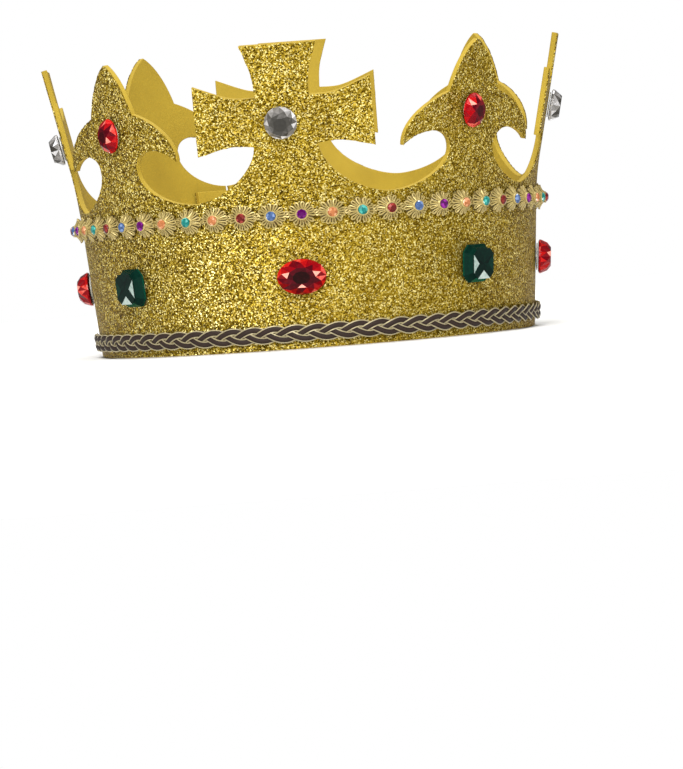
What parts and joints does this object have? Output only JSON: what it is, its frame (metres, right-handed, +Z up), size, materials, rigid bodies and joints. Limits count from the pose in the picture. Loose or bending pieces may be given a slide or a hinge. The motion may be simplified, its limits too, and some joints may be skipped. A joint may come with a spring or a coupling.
{
  "type": "dress-up crown",
  "caption": "Child's play crown of glitter-faced foam sheet, a ring of crosses and fleurs-de-lis with glued stones, a flower trim and a plaited braid.",
  "frame": {"origin": "on the surface it stands on, under the middle of the crown's box", "axes": "+Z up through the points, front cross towards -Y, +X to the right as seen from the front"},
  "size_m": [0.2003, 0.22, 0.1198],
  "materials": {
    "yellow_foam": "matte closed-cell foam sheet with a clean cut edge",
    "gold_glitter": "dense gold glitter flakes set in clear binder",
    "gold_thread": "looped pale gold thread with small coloured stones",
    "dark_braid": "flat dark cord edged with a fine pale gold twist, plaited",
    "clear_glue": "clear glue",
    "clear_stone": "clear faceted acrylic over a silver foil back",
    "red_stone": "red faceted acrylic over a silver foil back",
    "green_stone": "dark green step-cut acrylic over a silver foil back"
  },
  "bodies": {
    "root": {"braid_trim": "dark_braid", "crystal_back": "clear_stone", "crystal_back_glue": "clear_glue", "crystal_front": "clear_stone", "crystal_front_glue": "clear_glue", "crystal_left": "clear_stone", "crystal_left_glue": "clear_glue", "crystal_right": "clear_stone", "crystal_right_glue": "clear_glue", "emerald_back_left": "green_stone", "emerald_back_left_glue": "clear_glue", "emerald_back_right": "green_stone", "emerald_back_right_glue": "clear_glue", "emerald_front_left": "green_stone", "emerald_front_left_glue": "clear_glue", "emerald_front_right": "green_stone", "emerald_front_right_glue": "clear_glue", "flower_trim": "gold_thread", "foam_shell": "yellow_foam", "glitter_facing": "gold_glitter", "lap_glue": "clear_glue", "red_oval_back": "red_stone", "red_oval_back_glue": "clear_glue", "red_oval_front": "red_stone", "red_oval_front_glue": "clear_glue", "red_oval_left": "red_stone", "red_oval_left_glue": "clear_glue", "red_oval_right": "red_stone", "red_oval_right_glue": "clear_glue", "ruby_back_left": "red_stone", "ruby_back_left_glue": "clear_glue", "ruby_back_right": "red_stone", "ruby_back_right_glue": "clear_glue", "ruby_front_left": "red_stone", "ruby_front_left_glue": "clear_glue", "ruby_front_right": "red_stone", "ruby_front_right_glue": "clear_glue"}
  },
  "joints": []
}
